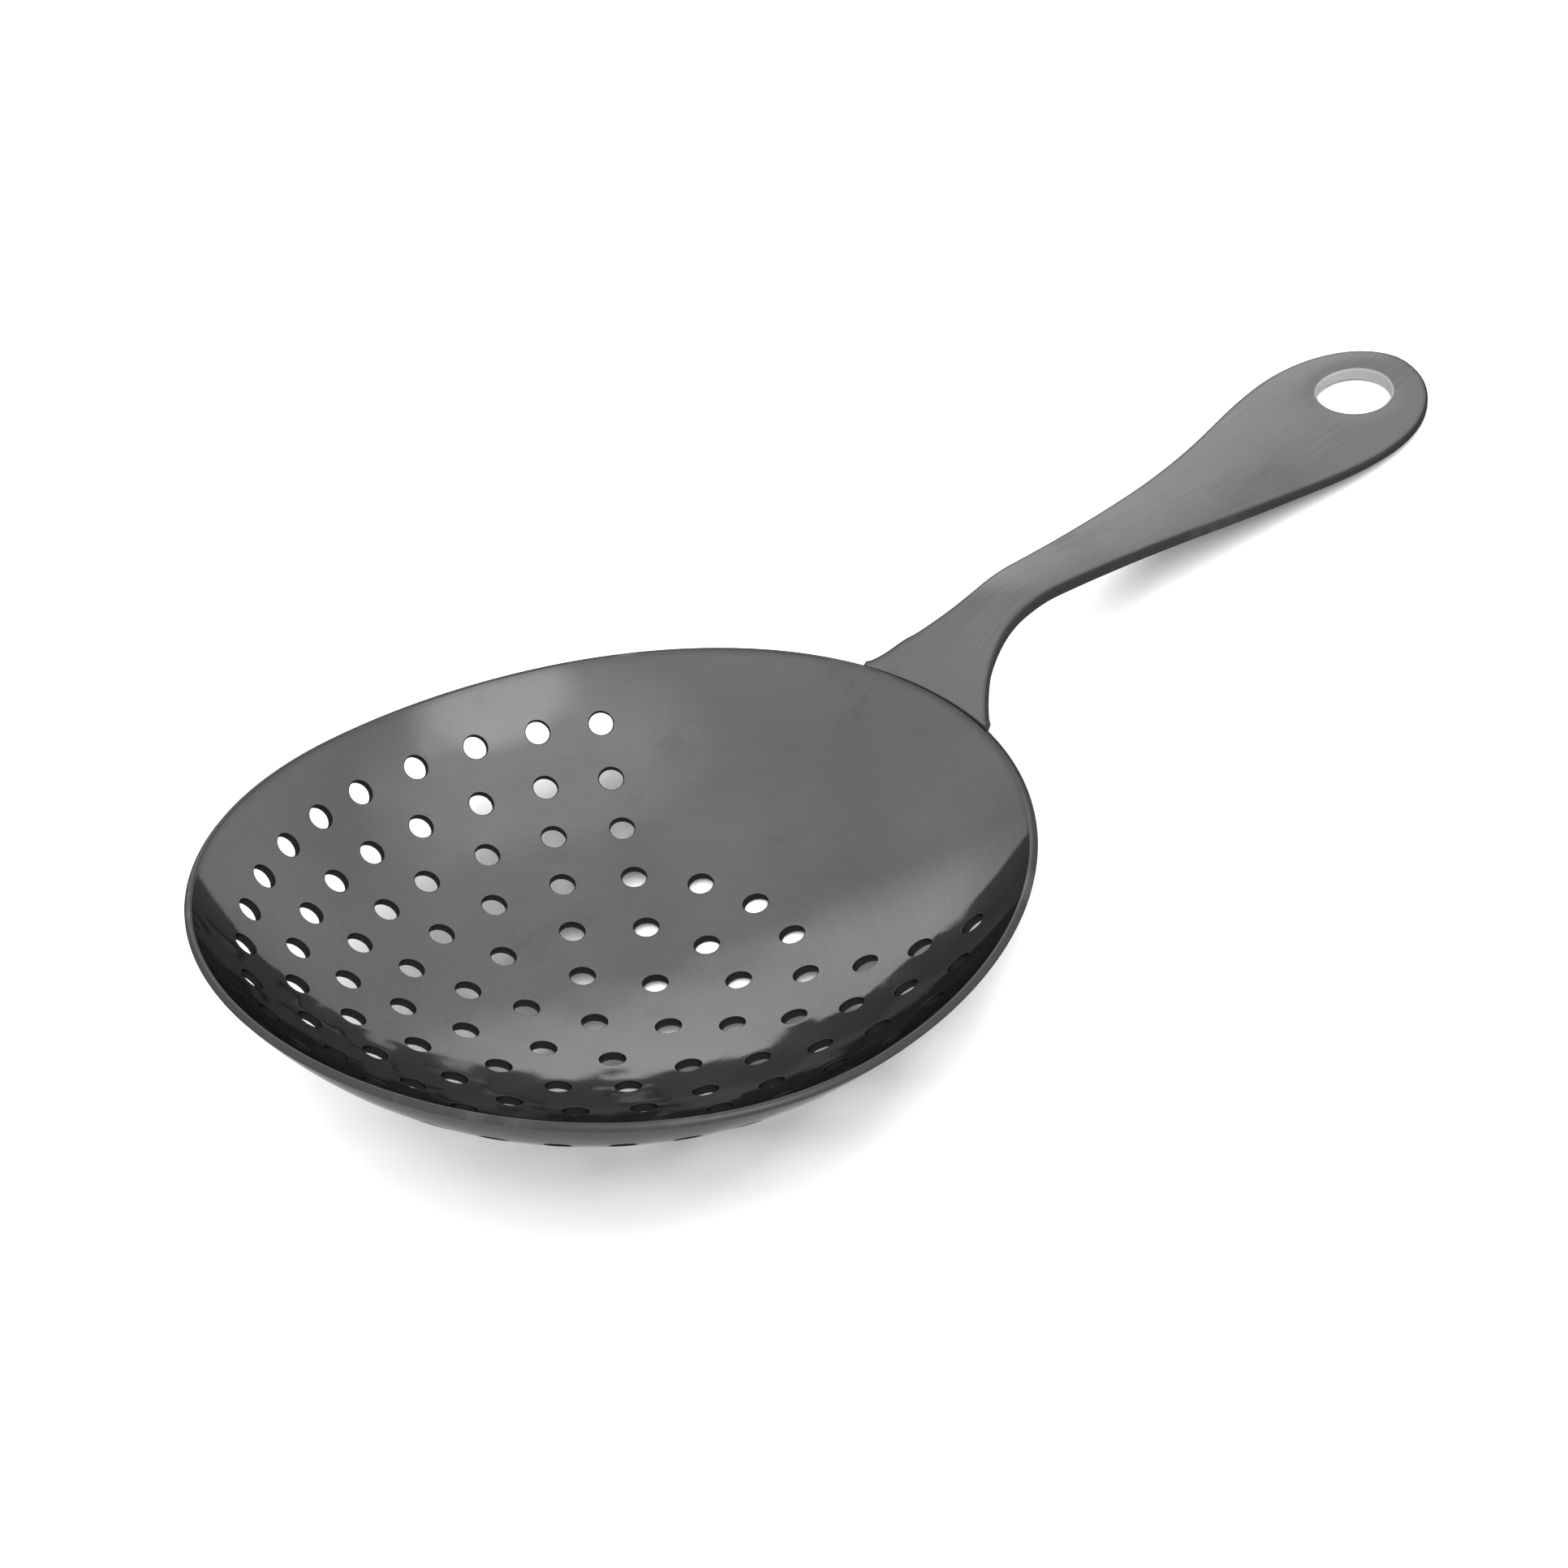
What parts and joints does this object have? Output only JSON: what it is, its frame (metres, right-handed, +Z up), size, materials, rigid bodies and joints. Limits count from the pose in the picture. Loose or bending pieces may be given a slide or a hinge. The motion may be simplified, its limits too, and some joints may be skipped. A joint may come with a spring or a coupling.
{
  "type": "julep strainer",
  "caption": "Cocktail julep strainer: a perforated oval metal bowl with a flat waisted strip handle brazed under its rim and a hang hole in the handle's paddle end.",
  "frame": {"origin": "on the table, below the middle of the strainer's length as it lies at rest", "axes": "+X from the bowl to the handle's tip, +Y across the bowl, +Z up from the table"},
  "size_m": [0.164, 0.0782, 0.0295],
  "materials": {
    "bowl": "dark gunmetal, satin outside and polished inside",
    "handle": "dark gunmetal, fine brushed",
    "braze": "brazing filler under the gunmetal coat"
  },
  "bodies": {
    "root": {"bowl": "bowl", "handle": "handle", "braze": "braze"}
  },
  "joints": []
}
